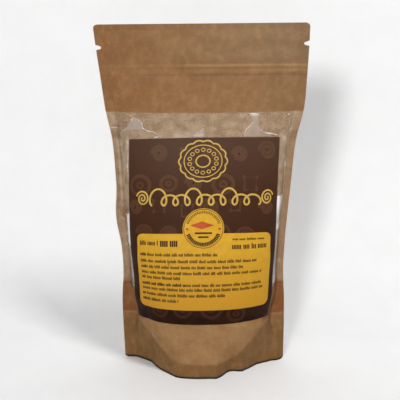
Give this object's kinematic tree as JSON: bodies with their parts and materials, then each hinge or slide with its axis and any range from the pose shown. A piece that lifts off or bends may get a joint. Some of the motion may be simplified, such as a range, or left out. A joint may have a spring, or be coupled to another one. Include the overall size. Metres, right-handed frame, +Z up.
{
  "type": "stand-up pouch of sugar",
  "caption": "Filled kraft stand-up pouch with a clear window band, a zip, tear notches and a paper label, holding fine sugar.",
  "frame": {"origin": "middle of the base, on the surface that the pouch stands on", "axes": "+Z up along the pouch's height, -Y out of its front with the window, +X to the right seen from the front"},
  "size_m": [0.1298, 0.0624, 0.218],
  "materials": {
    "kraft_paper": "brown kraft laminate, mottled, satin",
    "clear_film": "clear film, creased, lightly dusted inside",
    "fine_sugar": "fine white sugar, matt and grainy",
    "label_paper": "printed label paper, satin"
  },
  "bodies": {
    "root": {"kraft_pouch": "kraft_paper", "window_film": "clear_film", "sugar": "fine_sugar", "label": "label_paper"}
  },
  "joints": []
}
